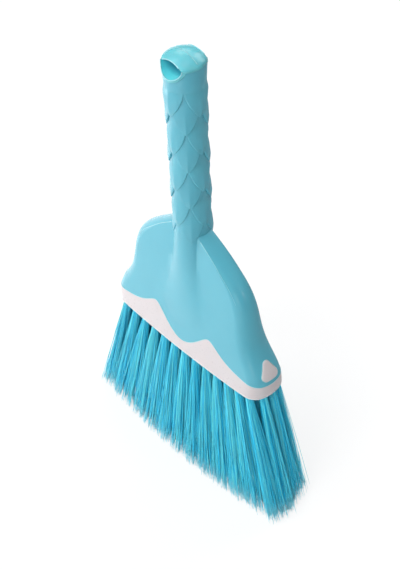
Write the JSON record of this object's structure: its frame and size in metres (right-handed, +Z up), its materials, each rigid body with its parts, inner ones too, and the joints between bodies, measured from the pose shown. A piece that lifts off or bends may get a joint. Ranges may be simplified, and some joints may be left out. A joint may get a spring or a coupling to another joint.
{
  "type": "hand broom",
  "caption": "Hand broom: leaf-textured round handle and hollow bell hood in one moulding, wavy white snap-in brush block, fanned stapled bristle tufts, and a domed end cap with a hanging eye.",
  "frame": {"origin": "centre of the object's box at the level of the bristle tips, on the handle's axis", "axes": "+Z up along the handle, X along the head's length, Y through its thickness; -Y is the front face"},
  "size_m": [0.2137, 0.0598, 0.3795],
  "materials": {
    "blue_polypropylene": "moulded satin gloss",
    "cap_polypropylene": "moulded satin gloss",
    "white_polypropylene": "moulded satin gloss",
    "bristle_filament": "extruded filament, split tips",
    "staple_wire": "drawn flat wire"
  },
  "bodies": {
    "root": {"brush_block": "white_polypropylene", "end_cap": "cap_polypropylene", "handle_hood": "blue_polypropylene", "staples": "staple_wire", "tuft_back_01": "bristle_filament", "tuft_back_02": "bristle_filament", "tuft_back_03": "bristle_filament", "tuft_back_04": "bristle_filament", "tuft_back_05": "bristle_filament", "tuft_back_06": "bristle_filament", "tuft_back_07": "bristle_filament", "tuft_back_08": "bristle_filament", "tuft_back_09": "bristle_filament", "tuft_back_10": "bristle_filament", "tuft_back_11": "bristle_filament", "tuft_back_12": "bristle_filament", "tuft_back_13": "bristle_filament", "tuft_front_01": "bristle_filament", "tuft_front_02": "bristle_filament", "tuft_front_03": "bristle_filament", "tuft_front_04": "bristle_filament", "tuft_front_05": "bristle_filament", "tuft_front_06": "bristle_filament", "tuft_front_07": "bristle_filament", "tuft_front_08": "bristle_filament", "tuft_front_09": "bristle_filament", "tuft_front_10": "bristle_filament", "tuft_front_11": "bristle_filament", "tuft_front_12": "bristle_filament", "tuft_front_13": "bristle_filament", "tuft_mid_back_01": "bristle_filament", "tuft_mid_back_02": "bristle_filament", "tuft_mid_back_03": "bristle_filament", "tuft_mid_back_04": "bristle_filament", "tuft_mid_back_05": "bristle_filament", "tuft_mid_back_06": "bristle_filament", "tuft_mid_back_07": "bristle_filament", "tuft_mid_back_08": "bristle_filament", "tuft_mid_back_09": "bristle_filament", "tuft_mid_back_10": "bristle_filament", "tuft_mid_back_11": "bristle_filament", "tuft_mid_back_12": "bristle_filament", "tuft_mid_back_13": "bristle_filament", "tuft_mid_back_14": "bristle_filament", "tuft_mid_front_01": "bristle_filament", "tuft_mid_front_02": "bristle_filament", "tuft_mid_front_03": "bristle_filament", "tuft_mid_front_04": "bristle_filament", "tuft_mid_front_05": "bristle_filament", "tuft_mid_front_06": "bristle_filament", "tuft_mid_front_07": "bristle_filament", "tuft_mid_front_08": "bristle_filament", "tuft_mid_front_09": "bristle_filament", "tuft_mid_front_10": "bristle_filament", "tuft_mid_front_11": "bristle_filament", "tuft_mid_front_12": "bristle_filament", "tuft_mid_front_13": "bristle_filament", "tuft_mid_front_14": "bristle_filament"}
  },
  "joints": []
}
